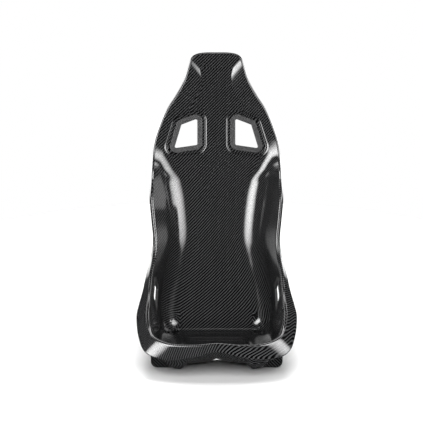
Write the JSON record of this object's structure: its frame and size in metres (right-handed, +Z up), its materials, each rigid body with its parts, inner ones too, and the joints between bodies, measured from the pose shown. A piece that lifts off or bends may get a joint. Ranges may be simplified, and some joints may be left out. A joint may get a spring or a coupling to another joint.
{
  "type": "racing seat",
  "caption": "Fixed-back composite bucket seat for motorsport with high side bolsters, harness openings with bezels, strap slots and side mounting pads with threaded inserts.",
  "frame": {"origin": "middle of the footprint, on the ground plane", "axes": "+Z up, +X to the right seen from the front, and the seat faces -Y"},
  "size_m": [0.4814, 0.6742, 0.8487],
  "materials": {
    "carbon_laminate": "gloss",
    "trim_plastic": "matte",
    "screw_steel": "satin",
    "insert_aluminium": "satin"
  },
  "bodies": {
    "root": {"shell": "carbon_laminate", "shoulder_bezel_left": "trim_plastic", "shoulder_bezel_right": "trim_plastic", "shoulder_bezel_rear_left": "trim_plastic", "shoulder_bezel_rear_right": "trim_plastic", "shoulder_screws_left": "screw_steel", "shoulder_screws_right": "screw_steel", "lap_trim_left": "trim_plastic", "lap_trim_right": "trim_plastic", "crotch_trim_upper": "trim_plastic", "crotch_trim_lower": "trim_plastic", "crotch_screws": "screw_steel", "side_pad_left": "carbon_laminate", "side_pad_right": "carbon_laminate", "mount_inserts_left": "insert_aluminium", "mount_inserts_right": "insert_aluminium"}
  },
  "joints": []
}
